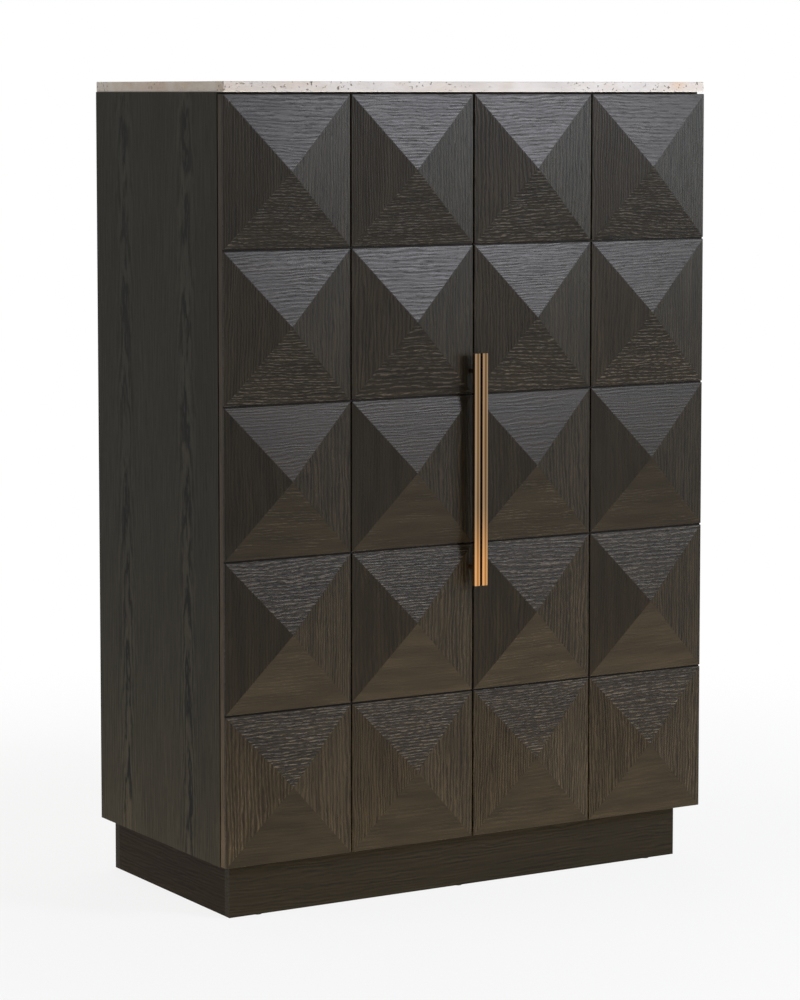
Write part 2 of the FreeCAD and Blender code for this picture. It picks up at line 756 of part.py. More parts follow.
def tiles(side):
    """Facings from the top row down; the inner ones are drilled where a handle post passes."""
    pitch_x = f"({tile_width} + tile_gap)"
    pitch_z = f"({tile_height} + tile_gap)"
    post_y = span(f"{bar_back_y}", f"{core_front_y} + overrun")
    posts = handle_rods(f"{side}_post_hole", side, "post_radius + post_clearance", post_y)
    made = []
    for row in range(1, TILE_ROWS + 1):
        z = f"{door_bottom_z} + {pitch_z} * {TILE_ROWS - row}"
        for column, name in enumerate(COLUMNS):
            x = inward(side, f"{pitch_x} * {column}", f"{pitch_x} * {column} + {tile_width}")
            label = f"{side}_tile_{row}_{name}"
            if name == "outer":
                made.append(pyramid(label, x, z))
            else:
                made.append(cut(label, pyramid(f"{label}_blank", x, z), posts))
    return made


# The whole cabinet
glides = []
node(stone_top())
for side in SIDES:
    node(side_panel(side))
    node(plinth_end(side))
    for number, level in enumerate(shelf_levels(), 1):
        node(shelf(side, number, level))
node(bottom_panel())
node(top_panel())
node(divider())
for panel in back_and_rail():
    node(panel)
node(plinth_board("plinth_front", plinth_front_y, glides))
node(plinth_board("plinth_back", plinth_back_y, glides))
node(group("floor_glides", glides))
node(corner_blocks())
node(block_screws())
node(shelf_pins())
node(group("carcass_dowels", dowels))

levels = list(enumerate(hinge_levels(), 1))
for label, make in (("hinge_arms", hinge_arm), ("hinge_plates", hinge_plate)):
    node(group(label, [make(side, number, level) for side in SIDES for number, level in levels]))
node(plate_screws())

for side in SIDES:
    node(door_core(side))
    for tile in tiles(side):
        node(tile)
    node(handle_bar(side))
    node(handle_posts(side))
    node(handle_screws(side))
    node(group(f"{side}_hinge_cups", [hinge_cup(side, number, level) for number, level in levels]))
    node(hinge_pins(side))
    node(cup_screws(side))

doc.recompute()

# Nothing is written unless every object is sound
for item in doc.Objects:
    if "Invalid" in item.State or "Error" in item.State:
        raise RuntimeError(f"{item.Label} failed: {item.State}")
for item in nodes:
    if item.Shape.isNull() or not item.Shape.isValid():
        raise RuntimeError(f"{item.Label} has no sound shape")

os.makedirs("parts", exist_ok=True)
for item in nodes:
    item.Shape.exportStep(os.path.join("parts", f"{item.Label}.step"))
print(f"{len(nodes)} pieces written")
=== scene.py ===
import math
import random

import bmesh
import bpy
from mathutils import Matrix, Vector


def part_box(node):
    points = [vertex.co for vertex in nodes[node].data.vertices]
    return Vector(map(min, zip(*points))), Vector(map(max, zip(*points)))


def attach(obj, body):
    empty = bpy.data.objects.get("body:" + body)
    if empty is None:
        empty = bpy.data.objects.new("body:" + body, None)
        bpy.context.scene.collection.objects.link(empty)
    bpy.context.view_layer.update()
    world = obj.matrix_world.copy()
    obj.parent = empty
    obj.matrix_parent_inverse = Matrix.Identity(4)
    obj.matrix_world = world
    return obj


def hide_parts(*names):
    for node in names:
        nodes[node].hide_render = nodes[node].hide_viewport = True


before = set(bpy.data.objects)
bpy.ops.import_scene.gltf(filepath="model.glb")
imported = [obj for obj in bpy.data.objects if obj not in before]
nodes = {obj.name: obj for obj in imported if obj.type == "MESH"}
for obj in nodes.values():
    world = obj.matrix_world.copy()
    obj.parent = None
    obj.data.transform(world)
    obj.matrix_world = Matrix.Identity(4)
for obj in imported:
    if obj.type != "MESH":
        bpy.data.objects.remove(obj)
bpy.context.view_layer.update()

half = 0.5  # the middle of a noise or a mask


# colours are written as seen on screen, 0 to 255
def seen(red, green, blue):
    def linear(value):
        share = value / 255
        return share / 12.92 if share <= 0.04045 else ((share + 0.055) / 1.055) ** 2.4
    return (linear(red), linear(green), linear(blue), 1.0)


# small helpers for the node trees: a socket's value is linked, anything else is set
def fillSockets(tree, node, inputs):
    for socket, value in inputs.items():
        if isinstance(value, bpy.types.NodeSocket):
            tree.links.new(value, node.inputs[socket])
        else:
            node.inputs[socket].default_value = value
    return node


def addNode(tree, kind, inputs, **settings):
    node = tree.nodes.new("ShaderNode" + kind)
    for name, value in settings.items():
        setattr(node, name, value)
    return fillSockets(tree, node, inputs)


def objectPlace(tree):
    return addNode(tree, "TexCoord", {}).outputs["Object"]


def split(tree, vector):
    return addNode(tree, "SeparateXYZ", {0: vector}).outputs


def join(tree, *parts):
    return addNode(tree, "CombineXYZ", dict(enumerate(parts))).outputs[0]


def maths(tree, operation, *values):
    return addNode(tree, "Math", dict(enumerate(values)), operation=operation).outputs[0]


def vectorMaths(tree, operation, *values):
    return addNode(tree, "VectorMath", dict(enumerate(values)), operation=operation).outputs


def noise(tree, place, stretch, detail=2.0, roughness=0.5, warp=0.0):
    drawn = vectorMaths(tree, "MULTIPLY", place, stretch)["Vector"]
    settings = {"Vector": drawn, "Scale": 1.0, "Detail": detail, "Roughness": roughness, "Distortion": warp}
    return addNode(tree, "TexNoise", settings).outputs["Fac"]


def remap(tree, value, low, high, toLow=0.0, toHigh=1.0):
    settings = {"Value": value, "From Min": low, "From Max": high, "To Min": toLow, "To Max": toHigh}
    return addNode(tree, "MapRange", settings, interpolation_type="SMOOTHSTEP").outputs[0]


def mixColour(tree, factor, first, second):
    return addNode(tree, "Mix", {0: factor, 6: first, 7: second}, data_type="RGBA").outputs[2]


def mixValue(tree, factor, first, second):
    return addNode(tree, "Mix", {0: factor, 2: first, 3: second}, data_type="FLOAT").outputs[0]


def scaled(tree, colour, factor):
    return addNode(tree, "VectorMath", {0: colour, "Scale": factor}, operation="SCALE").outputs[0]


def bumped(tree, height, depth):
    return addNode(tree, "Bump", {"Strength": 1.0, "Distance": depth, "Height": height}).outputs[0]


def newGroup(name, inputs, outputs):
    group = bpy.data.node_groups.new(name, "ShaderNodeTree")
    for label, kind, usual in inputs:
        socket = group.interface.new_socket(label, in_out="INPUT", socket_type="NodeSocket" + kind)
        if usual is not None:
            socket.default_value = usual
    for label in outputs:
        group.interface.new_socket(label, in_out="OUTPUT", socket_type="NodeSocketFloat")
    return group, group.nodes.new("NodeGroupInput").outputs, group.nodes.new("NodeGroupOutput")


def placeGroup(tree, group, inputs):
    node = tree.nodes.new("ShaderNodeGroup")
    node.node_tree = group
    return fillSockets(tree, node, inputs).outputs


def newMaterial(name):
    material = bpy.data.materials.new(name)
    material.use_nodes = True
    tree = material.node_tree
    return material, tree, tree.nodes["Principled BSDF"]


# oak grain: X runs along the grain, Y across it, Z into the wood, all in metres
oakFigure = {
    "inputs": {"Ring": 0.006, "Wander": 0.02, "Figure": 0.0, "Leaf": 0.26, "Even": 0.0},
    "drift": {"stretch": (2.2, 9, 9)},
    "archLean": 0.05, "archStart": 0.01, "archFade": (0.008, 0.05, 1.0, 0.25),
    "spacing": {"stretch": (12, 50, 50), "detail": 3.0, "roughness": 0.6}, "unevenness": 2.6,
    "patches": {"stretch": (10, 48, 48)}, "patchSpan": (0.38, 0.62), "patchSwing": (0.12, 0.5),
    "fibres": {"stretch": (9, 300, 300), "detail": 4.0, "roughness": 0.65}, "fibreSpan": (0.3, 0.7),
    "ringShare": 0.6, "fibreShare": 0.4,
    "heartFade": (0.004, 0.03, 1.0, 0.0), "heartSpan": (0.38, 0.08),
    "flecks": {"stretch": (85, 700, 700)}, "fleckSpan": (0.36, 0.64),
    "pores": {"stretch": (38, 700, 700)}, "poreSpan": (0.55, 0.7),
}


def buildOakGrain():
    style = oakFigure
    inputs = [("Grain", "Vector", None)]
    inputs += [(label, "Float", usual) for label, usual in style["inputs"].items()]
    group, into, out = newGroup("oakGrain", inputs, ["Stain", "Rings", "Flecks", "Pores", "Hearts"])
    grain = into["Grain"]
    axes = split(group, grain)
    drift = maths(group, "SUBTRACT", noise(group, grain, **style["drift"]), half)
    across = maths(group, "MULTIPLY_ADD", drift, into["Wander"], axes["Y"])

    # cathedral arches either side of each leaf's middle line
    fromMiddle = maths(group, "PINGPONG", across, maths(group, "MULTIPLY", into["Leaf"], half))
    lean = maths(group, "MULTIPLY_ADD", axes["X"], style["archLean"], style["archStart"])
    squares = maths(group, "MULTIPLY_ADD", lean, lean, maths(group, "POWER", fromMiddle, 2.0))
    distance = mixValue(group, into["Figure"], across, maths(group, "SQRT", squares))
    archFade = mixValue(group, into["Figure"], 1.0, remap(group, fromMiddle, *style["archFade"]))

    # growth rings, unevenly spaced and fading in and out along their length
    evenPhase = maths(group, "DIVIDE", distance, into["Ring"])
    spacing = noise(group, grain, **style["spacing"])
    phase = maths(group, "MULTIPLY_ADD", spacing, style["unevenness"], evenPhase)
    wave = maths(group, "SINE", maths(group, "MULTIPLY", phase, 2 * math.pi))
    patches = noise(group, grain, **style["patches"])
    patchSwing = remap(group, patches, *style["patchSpan"], *style["patchSwing"])
    swing = maths(group, "MULTIPLY", mixValue(group, into["Even"], patchSwing, half), archFade)
    rings = maths(group, "MULTIPLY_ADD", wave, swing, half)
    fibres = remap(group, noise(group, grain, **style["fibres"]), *style["fibreSpan"])
    fibrePart = maths(group, "MULTIPLY", fibres, style["fibreShare"])
    stain = maths(group, "MULTIPLY_ADD", rings, style["ringShare"], fibrePart)

    # the dark spires up the middle of a leaf
    nearMiddle = maths(group, "MULTIPLY", remap(group, fromMiddle, *style["heartFade"]), into["Figure"])
    hearts = maths(group, "MULTIPLY", remap(group, rings, *style["heartSpan"]), nearMiddle)

    # short flecks, and the finer open pores between the rings
    flecks = remap(group, noise(group, grain, **style["flecks"]), *style["fleckSpan"])
    openPores = remap(group, noise(group, grain, **style["pores"]), *style["poreSpan"])
    pores = maths(group, "MULTIPLY", openPores, maths(group, "SUBTRACT", 1.0, rings))
    results = {"Stain": stain, "Rings": rings, "Flecks": flecks, "Pores": pores, "Hearts": hearts}
    fillSockets(group, out, results)
    return group


oakGrain = buildOakGrain()


# open-pored oak under a dark stain, for the tiles: the grain follows each facet's own map
facingOak = {
    # the pale dash colour paints highlights; the pale ridge colour is partly wear and partly a painted
    # highlight
    "dark": seen(16, 14, 10), "light": seen(51, 45, 36), "pore": seen(11, 10, 7),
    "paintedGlint": seen(101, 96, 87), "wornAndHighlit": seen(98, 93, 86),
    "ring": (0.0055, 0.0085), "wander": (0.003, 0.03), "evenness": 0.8, "leafDepth": 40.0,
    "clouds": {"stretch": (7, 45, 45)}, "cloudSpan": (0.3, 0.7), "cloudTone": (0.84, 1.16),
    "contrast": (0.18, 1.0), "fleckShare": 0.3, "paintedGlintStrength": 0.65, "ringCrest": (0.6, 0.95),
    "fleckCrest": (0.4, 0.8), "wearAndHighlight": 0.55, "poreDepth": 0.6, "relief": (0.4, 1.3), "bump": 0.0002,
    "roughness": (0.36, 0.25), "gloss": 0.115,
}


def buildFacingOak():
    style = facingOak
    material, tree, shader = newMaterial("facingOak")
    marks = ("facetSeed", "coarseness", "striping", "toneAndPaintedLight", "ridgeWearAndHighlight")
    reads = [addNode(tree, "Attribute", {}, attribute_name=mark).outputs["Fac"] for mark in marks]
    seed, coarse, striped, toneAndPaintedLight, wornAndHighlit = reads
    flat = split(tree, addNode(tree, "UVMap", {}, uv_map="grain").outputs[0])
    grain = join(tree, flat["X"], flat["Y"], maths(tree, "MULTIPLY", seed, style["leafDepth"]))
    lottery = addNode(tree, "TexWhiteNoise", {"W": seed}, noise_dimensions="1D").outputs["Color"]
    draws = split(tree, lottery)
    oak = placeGroup(tree, oakGrain, {
        "Grain": grain,
        "Ring": remap(tree, draws["X"], 0, 1, *style["ring"]),
        "Wander": remap(tree, draws["Y"], 0, 1, *style["wander"]),
        "Even": maths(tree, "MULTIPLY", striped, style["evenness"]),
    })
    busy = maths(tree, "MAXIMUM", coarse, striped)
    contrast = remap(tree, busy, 0, 1, *style["contrast"])
    fleckShare = maths(tree, "MULTIPLY", coarse, style["fleckShare"])
    lines = mixValue(tree, fleckShare, oak["Stain"], oak["Flecks"])
    colour = mixColour(tree, mixValue(tree, contrast, half, lines), style["dark"], style["light"])

    # painted highlight: light dashes on the crests of the rings stand in for glints of light off them, with
    # dark pores between them
    ringCrest = remap(tree, oak["Rings"], *style["ringCrest"])
    crest = maths(tree, "MULTIPLY", ringCrest, remap(tree, oak["Flecks"], *style["fleckCrest"]))
    paintedGlintMask = maths(tree, "MULTIPLY", crest, maths(tree, "MULTIPLY", coarse, style["paintedGlintStrength"]))
    colour = mixColour(tree, paintedGlintMask, colour, style["paintedGlint"])
    colour = mixColour(tree, maths(tree, "MULTIPLY", oak["Pores"], contrast), colour, style["pore"])

    # soft clouds in the stain, each facet's tone (partly painted light and shade for its side and row), and
    # the ridges painted paler, partly as wear and partly as a painted highlight where the arrises catch the
    # light
    clouds = noise(tree, grain, **style["clouds"])
    cloudTone = remap(tree, clouds, *style["cloudSpan"], *style["cloudTone"])
    colour = scaled(tree, colour, maths(tree, "MULTIPLY", cloudTone, toneAndPaintedLight))
    colour = mixColour(tree, maths(tree, "MULTIPLY", wornAndHighlit, style["wearAndHighlight"]), colour, style["wornAndHighlit"])
    poreDepth = maths(tree, "MULTIPLY", oak["Pores"], style["poreDepth"])
    relief = remap(tree, busy, 0, 1, *style["relief"])
    height = maths(tree, "MULTIPLY", maths(tree, "SUBTRACT", lines, poreDepth), relief)
    fillSockets(tree, shader, {
        "Base Color": colour,
        "Roughness": remap(tree, lines, 0, 1, *style["roughness"]),
        "Normal": bumped(tree, height, style["bump"]),
        "Specular IOR Level": style["gloss"],
    })
    return material


# flat boards, with the grain along one of the part's axes: axes gives along, across and depth
boards = {
    "upright": {"axes": "ZYX", "figure": 1.0, "start": (0, 0.1, 0), "ring": 0.009, "even": 0.7,
                "dark": seen(11, 11, 8), "light": seen(51, 48, 40), "pore": seen(7, 7, 6),
                "roughness": (0.66, 0.56)},
    # the plinth boards are darker: painted shade of their recess under the carcass
    "plinthLong": {"axes": "XZY", "dark": seen(14, 13, 10), "light": seen(29, 26, 21), "gloss": 0.06},
    "plinthShort": {"axes": "YZX", "dark": seen(15, 12, 9), "light": seen(29, 24, 18), "gloss": 0.03},
    "doorBack": {"axes": "ZXY", "figure": 1.0, "grooved": "left_door_core"},
    "insideFlat": {"axes": "XYZ"},
    "insideUpright": {"axes": "ZYX", "figure": 1.0},
    "insideBack": {"axes": "ZXY", "figure": 1.0},
    "beech": {"axes": "ZYX", "dark": seen(172, 136, 98), "light": seen(208, 174, 132),
              "pore": seen(140, 104, 70)},
}
plainBoard = {
    "figure": 0.0, "even": 0.0, "leaf": 0.26, "start": (0, 0, 0), "ring": 0.007, "wander": 0.03,
    "dark": seen(40, 34, 27), "light": seen(74, 64, 52), "pore": seen(24, 20, 16),
    "clouds": {"stretch": (1.2, 7, 7)}, "cloudSpan": (0.3, 0.7), "cloudTone": (0.82, 1.18),
    "grooved": None, "grooveDepth": 0.001, "poreDepth": 0.6, "bump": 0.00006,
    "roughness": (0.58, 0.46), "gloss": 0.09,
}


def buildBoard(name):
    style = {**plainBoard, **boards[name]}
    material, tree, shader = newMaterial(name + "Oak" if name != "beech" else name)
    place = objectPlace(tree)
    moved = split(tree, vectorMaths(tree, "ADD", place, style["start"])["Vector"])
    grain = join(tree, *(moved[axis] for axis in style["axes"]))
    oak = placeGroup(tree, oakGrain, {
        "Grain": grain, "Ring": style["ring"], "Wander": style["wander"], "Figure": style["figure"],
        "Leaf": style["leaf"], "Even": style["even"],
    })
    colour = mixColour(tree, oak["Stain"], style["dark"], style["light"])
    colour = mixColour(tree, maths(tree, "MAXIMUM", oak["Pores"], oak["Hearts"]), colour, style["pore"])
    clouds = noise(tree, grain, **style["clouds"])
    colour = scaled(tree, colour, remap(tree, clouds, *style["cloudSpan"], *style["cloudTone"]))
    if style["grooved"]:  # painted shade: the door's front is near black where it shows in the deep gaps between the tiles
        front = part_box(style["grooved"])[0].y + style["grooveDepth"]
        grooveShade = maths(tree, "LESS_THAN", split(tree, place)["Y"], front)
        colour = mixColour(tree, grooveShade, colour, style["pore"])
    poreDepth = maths(tree, "MULTIPLY", oak["Pores"], style["poreDepth"])
    height = maths(tree, "SUBTRACT", oak["Stain"], poreDepth)
    fillSockets(tree, shader, {
        "Base Color": colour,
        "Roughness": remap(tree, oak["Stain"], 0, 1, *style["roughness"]),
        "Normal": bumped(tree, height, style["bump"]),
        "Specular IOR Level": style["gloss"],
    })
    return material


# honed travertine: bands, soft clouds, rust patches and clusters of open pits
stone = {
    "pale": seen(222, 217, 212), "beige": seen(212, 201, 190), "grey": seen(198, 194, 190),
    "pink": seen(210, 191, 180), "rust": seen(214, 176, 136), "pit": seen(92, 78, 66),
    "arris": seen(232, 228, 223),
    "figures": {
        "bands": {"stretch": (4.5, 10, 8), "detail": 5.0, "roughness": 0.62, "warp": 1.4},
        "tints": {"stretch": (2.8, 5.5, 5), "detail": 3.0, "warp": 0.8},
        "clouds": {"stretch": (18, 55, 60), "detail": 5.0, "roughness": 0.65},
        "patches": {"stretch": (5, 9, 9), "detail": 3.0},
        "spots": {"stretch": (140, 190, 170)},
        "clusters": {"stretch": (9, 14, 14)},
    },
    "layers": (  # each tint, the figure it follows, from where to where, and how strong
        ("beige", "bands", (0.42, 0.6), 1.0), ("grey", "tints", (0.45, 0.7), 0.7),
        ("pink", "tints", (0.5, 0.3), 0.6), ("pale", "clouds", (0.45, 0.75), 0.55),
        ("rust", "patches", (0.6, 0.75), 0.6)),
    "spotSpan": (0.61, 0.69), "clusterSpan": (0.42, 0.62), "pitTint": 0.75, "pitDepth": 0.0012,
    "arrisHeight": 0.0026, "arrisTint": 0.7, "roughness": (0.62, 0.74), "gloss": 0.12,
}


def buildTravertine():
    style = stone
    material, tree, shader = newMaterial("travertine")
    place = objectPlace(tree)
    figures = {name: noise(tree, place, **settings) for name, settings in style["figures"].items()}
    colour = style["pale"]
    for tint, figure, span, strength in style["layers"]:
        colour = mixColour(tree, remap(tree, figures[figure], *span, 0.0, strength), colour, style[tint])
    clusters = remap(tree, figures["clusters"], *style["clusterSpan"])
    pits = maths(tree, "MULTIPLY", remap(tree, figures["spots"], *style["spotSpan"]), clusters)
    colour = mixColour(tree, maths(tree, "MULTIPLY", pits, style["pitTint"]), colour, style["pit"])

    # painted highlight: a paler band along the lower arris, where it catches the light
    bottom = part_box("stone_top")[0].z
    fadeFrom, fadeTo = bottom + style["arrisHeight"], bottom + style["arrisHeight"] / 2
    arris = remap(tree, split(tree, place)["Z"], fadeFrom, fadeTo, 0.0, style["arrisTint"])
    colour = mixColour(tree, arris, colour, style["arris"])
    fillSockets(tree, shader, {
        "Base Color": colour,
        "Roughness": remap(tree, figures["clouds"], 0, 1, *style["roughness"]),
        "Normal": bumped(tree, maths(tree, "SUBTRACT", 1.0, pits), style["pitDepth"]),
        "Specular IOR Level": style["gloss"],
    })
    return material


# fine brushing lines, drawn out along one axis by a stretch of the place
brushing = {"detail": 3.0, "roughness": 0.6}


def buildBrushLines():
    inputs = [("Place", "Vector", None), ("Stretch", "Vector", None)]
    group, into, out = newGroup("brushLines", inputs, ["Lines"])
    fillSockets(group, out, {"Lines": noise(group, into["Place"], into["Stretch"], **brushing)})
    return group


brushLines = buildBrushLines()


# bronze pulls: a brown patina down the middle of each bar, paler along its edges, which are partly rubbed
# and partly a painted highlight on the rounded arrises, and warming to gold towards the foot as a painted
# reflection of warm light from below
bronze = {
    "patina": seen(110, 84, 53), "rubbedAndHighlit": seen(158, 132, 104), "warmReflectionMiddle": seen(178, 120, 62),
    "warmReflectionEdge": seen(222, 170, 116), "warmReflectionShares": (0.373, 0.0434),  # of the bar's length, from its foot
    "stretch": (900, 900, 5), "band": (0.0012, 0.0034), "wobble": 0.0012,
    "lineSpan": (0.2, 0.8), "lineTone": (0.85, 1.12), "roughness": (0.07, 0.12),
}


def buildBronze():
    style = bronze
    material, tree, shader = newMaterial("bronze")
    place = objectPlace(tree)
    lines = placeGroup(tree, brushLines, {"Place": place, "Stretch": style["stretch"]})["Lines"]
    axes = split(tree, place)
    low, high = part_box("right_handle_bar")
    fromMeeting = maths(tree, "ABSOLUTE", axes["X"])
    aside = maths(tree, "ABSOLUTE", maths(tree, "SUBTRACT", fromMeeting, (low.x + high.x) / 2))
    wobble = maths(tree, "SUBTRACT", lines, half)
    # rubbed and painted highlight along the rounded edges of the bar's face
    rubbedAndHighlit = remap(tree, maths(tree, "MULTIPLY_ADD", wobble, style["wobble"], aside), *style["band"])
    # painted reflection: middle and edges turn gold towards the foot, as where the bar mirrors warm light
    # from below
    warmReflectionSpan = [low.z + share * (high.z - low.z) for share in style["warmReflectionShares"]]
    warmReflection = remap(tree, axes["Z"], *warmReflectionSpan)
    middle = mixColour(tree, warmReflection, style["patina"], style["warmReflectionMiddle"])
    edges = mixColour(tree, warmReflection, style["rubbedAndHighlit"], style["warmReflectionEdge"])
    colour = mixColour(tree, rubbedAndHighlit, middle, edges)
    fillSockets(tree, shader, {
        "Base Color": scaled(tree, colour, remap(tree, lines, *style["lineSpan"], *style["lineTone"])),
        "Roughness": remap(tree, lines, *style["lineSpan"], *style["roughness"]),
        "Metallic": 1.0,
    })
    return material


# nickel-plated hinges, pins and screws
nickel = {
    "shade": seen(160, 158, 154), "bright": seen(205, 203, 199), "stretch": (90, 700, 90),
    "shadeSpan": (0.3, 0.7), "lineSpan": (0.2, 0.8), "roughness": (0.25, 0.42),
}


def buildNickel():
    style = nickel
    material, tree, shader = newMaterial("nickel")
    place = objectPlace(tree)
    lines = placeGroup(tree, brushLines, {"Place": place, "Stretch": style["stretch"]})["Lines"]
    shine = remap(tree, lines, *style["shadeSpan"])
    fillSockets(tree, shader, {
        "Base Color": mixColour(tree, shine, style["shade"], style["bright"]),
        "Roughness": remap(tree, lines, *style["lineSpan"], *style["roughness"]),
        "Metallic": 1.0,
    })
    return material


# moulded glides, with the faint mottle of black nylon
nylon = {
    "dark": seen(24, 24, 24), "light": seen(42, 42, 42), "roughness": (0.45, 0.6), "mottleSpan": (0.3, 0.7),
    "mottle": {"stretch": (400, 400, 400), "detail": 4.0, "roughness": 0.6},
}


def buildNylon():
    style = nylon
    material, tree, shader = newMaterial("glideNylon")
    mottle = noise(tree, objectPlace(tree), **style["mottle"])
    share = remap(tree, mottle, *style["mottleSpan"])
    fillSockets(tree, shader, {
        "Base Color": mixColour(tree, share, style["dark"], style["light"]),
        "Roughness": remap(tree, mottle, 0, 1, *style["roughness"]),
    })
    return material


finish = {name: buildBoard(name) for name in boards}
finish["facing"] = buildFacingOak()
finish["travertine"] = buildTravertine()
finish["bronze"] = buildBronze()
finish["nickel"] = buildNickel()
finish["nylon"] = buildNylon()
print("finishes made:", len(finish))


# each finish's CAD nodes, by the start of the name less its door's side
dressing = {
    "upright": ("side_",),
    "plinthLong": ("plinth_front", "plinth_back"),
    "plinthShort": ("plinth_left", "plinth_right"),
    "insideFlat": ("shelf_left", "shelf_right", "bottom_panel", "top_panel", "wall_rail"),
    "insideUpright": ("divider",),
    "insideBack": ("back_panel",),
    "doorBack": ("door_core",),
    "beech": ("plinth_corner_blocks", "carcass_dowels"),
    "facing": ("tile_",),
    "travertine": ("stone_top",),
    "bronze": ("handle_bar", "handle_posts"),
    "nickel": ("hinge_", "plinth_screws", "shelf_pins", "handle_screws"),
    "nylon": ("floor_glides",),
}


def dress(node, material):
    mesh = nodes[node].data
    if not mesh.materials:
        mesh.materials.append(material)
    for slot in range(len(mesh.materials)):
        mesh.materials[slot] = material


for node in nodes:
    bare = node.removeprefix("left_").removeprefix("right_")
    for name, starts in dressing.items():
        if bare.startswith(starts):
            dress(node, finish[name])
print("nodes dressed")


def newPiece(name, shape, material, body, replaced):
    mesh = bpy.data.meshes.new(name)
    shape.to_mesh(mesh)
    shape.free()
    mesh.materials.append(material)
    piece = bpy.data.objects.new(name, mesh)
    bpy.context.scene.collection.objects.link(piece)
    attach(piece, body)
    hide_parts(replaced)
    return piece


def block(low, high):
    shape = bmesh.new()
    bmesh.ops.create_cube(shape, size=1.0)
    bmesh.ops.scale(shape, vec=high - low, verts=shape.verts)
    bmesh.ops.translate(shape, vec=(low + high) / 2, verts=shape.verts)
    return shape


def soften(shape, edges, width, segments):
    rounded = bmesh.ops.bevel(shape, geom=edges, offset=width, affect="EDGES", segments=segments,
                              profile=0.5, material=-1)
    return rounded["faces"]


# pyramid tiles: a slab with its face poked out to a point, all arrises eased
pyramidTile = {
    "edge": 0.004, "ease": 0.0009, "easeSteps": 2, "turn": 2.0,
    "seed": 41, "spread": 0.1, "toneSpread": 0.09,
    "veneers": {  # how flecked, how striped, how light; the lightness also paints the light and shade that each side of each row gets
        "sheer": (0.2, 0.5, 0.97), "silky": (0.08, 0.32, 0.95), "fine": (0.03, 0.75, 1.0),
        "duskyShaded": (0.0, 0.45, 0.7), "striped": (0.05, 0.8, 1.0), "flecked": (0.9, 0.9, 0.82),
        "dashed": (0.75, 0.8, 0.88), "speckled": (0.25, 0.1, 1.14), "warmBounceLit": (0.05, 0.05, 1.32),
        "smooth": (0.05, 0.05, 0.86)},
    "rows": {  # each side's veneers, from the top row down, whose tones paint the light and shade falling on that side and row
        "top": ("sheer", "sheer", "silky", "flecked", "flecked"),
        "right": ("fine", "fine", "striped", "striped", "striped"),
        "left": ("fine", "fine", "duskyShaded", "duskyShaded", "striped"),
        "bottom": ("dashed", "dashed", "speckled", "warmBounceLit", "smooth")},
}
draw = random.Random(pyramidTile["seed"])


def facetSide(normal):
    if abs(normal.x) > abs(normal.z):
        return "right" if normal.x > 0 else "left"
    return "top" if normal.z > 0 else "bottom"


# what the finish reads on each side of a tile
def drawFacets(row):
    style = pyramidTile
    spread, toneSpread = style["spread"], style["toneSpread"]
    seeds = {side: draw.random() for side in style["rows"]}
    turns = {side: math.radians(draw.uniform(-style["turn"], style["turn"])) for side in seeds}
    facets = {}
    for side, veneers in style["rows"].items():
        flecked, striped, toneAndPaintedLight = style["veneers"][veneers[row - 1]]
        facets[side] = {
            "facetSeed": seeds[side],
            "coarseness": max(0.0, flecked + draw.uniform(-spread, spread)),
            "striping": max(0.0, striped + draw.uniform(-spread, spread)),
            # the veneer's tone also paints the light and shade falling on this side and row, plus a random
            # spread
            "toneAndPaintedLight": toneAndPaintedLight * (1 + draw.uniform(-toneSpread, toneSpread)),
        }
    return facets, turns


def buildTile(node, body):
    style = pyramidTile
    low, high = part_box(node)
    rise = high.y - low.y - style["edge"]
    shape = block(Vector((low.x, low.y + rise, low.z)), high)
    front = min(shape.faces, key=lambda face: face.normal.y)
    bmesh.ops.poke(shape, faces=[front], offset=rise, center_mode="MEAN")
    ridges = set(soften(shape, shape.edges[:], style["ease"], style["easeSteps"]))
    bmesh.ops.recalc_face_normals(shape, faces=shape.faces)

    # each facet's own grain map and marks
    facets, turns = drawFacets(row=int(node.split("_")[2]))
    grainLayer = shape.loops.layers.uv.new("grain")
    ridgeWearAndHighlightLayer = shape.faces.layers.float.new("ridgeWearAndHighlight")
    markLayers = {mark: shape.faces.layers.float.new(mark) for mark in facets["top"]}
    for face in shape.faces:
        side = facetSide(face.normal)
        for mark, layer in markLayers.items():
            face[layer] = facets[side][mark]
        # ridges are marked to be painted paler: partly wear, partly a highlight where they catch the light
        face[ridgeWearAndHighlightLayer] = 1.0 if face in ridges else 0.0
        for loop in face.loops:
            place = loop.vert.co
            pair = (place.x, place.z) if side in ("top", "bottom") else (place.z, place.x)
            loop[grainLayer].uv = Matrix.Rotation(turns[side], 2) @ Vector(pair)
    newPiece(node + "_facing", shape, finish["facing"], body, node)


# handle bars: square bronze with its long arrises rounded and its ends eased
handleBar = {"round": 0.003, "roundSteps": 5, "endEase": 0.001, "endSteps": 2, "sharpAngle": 20}


def buildBar(node, body):
    style = handleBar
    low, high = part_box(node)
    shape = block(low, high)
    upright = [edge for edge in shape.edges if edge.calc_length() > (high.z - low.z) / 2]
    soften(shape, upright, style["round"], style["roundSteps"])
    ends = [face for face in shape.faces if abs(face.normal.z) > face.normal.xy.length]
    soften(shape, [edge for face in ends for edge in face.edges], style["endEase"], style["endSteps"])
    bmesh.ops.recalc_face_normals(shape, faces=shape.faces)
    piece = newPiece(node + "_rounded", shape, finish["bronze"], body, node)
    piece.data.shade_smooth()
    piece.data.set_sharp_from_angle(angle=math.radians(style["sharpAngle"]))


for node in sorted(nodes):
    door = node.split("_")[0] + "_door"
    if "_tile_" in node:
        buildTile(node, door)
    if node.endswith("_handle_bar"):
        buildBar(node, door)
print("tiles and handle bars modelled")


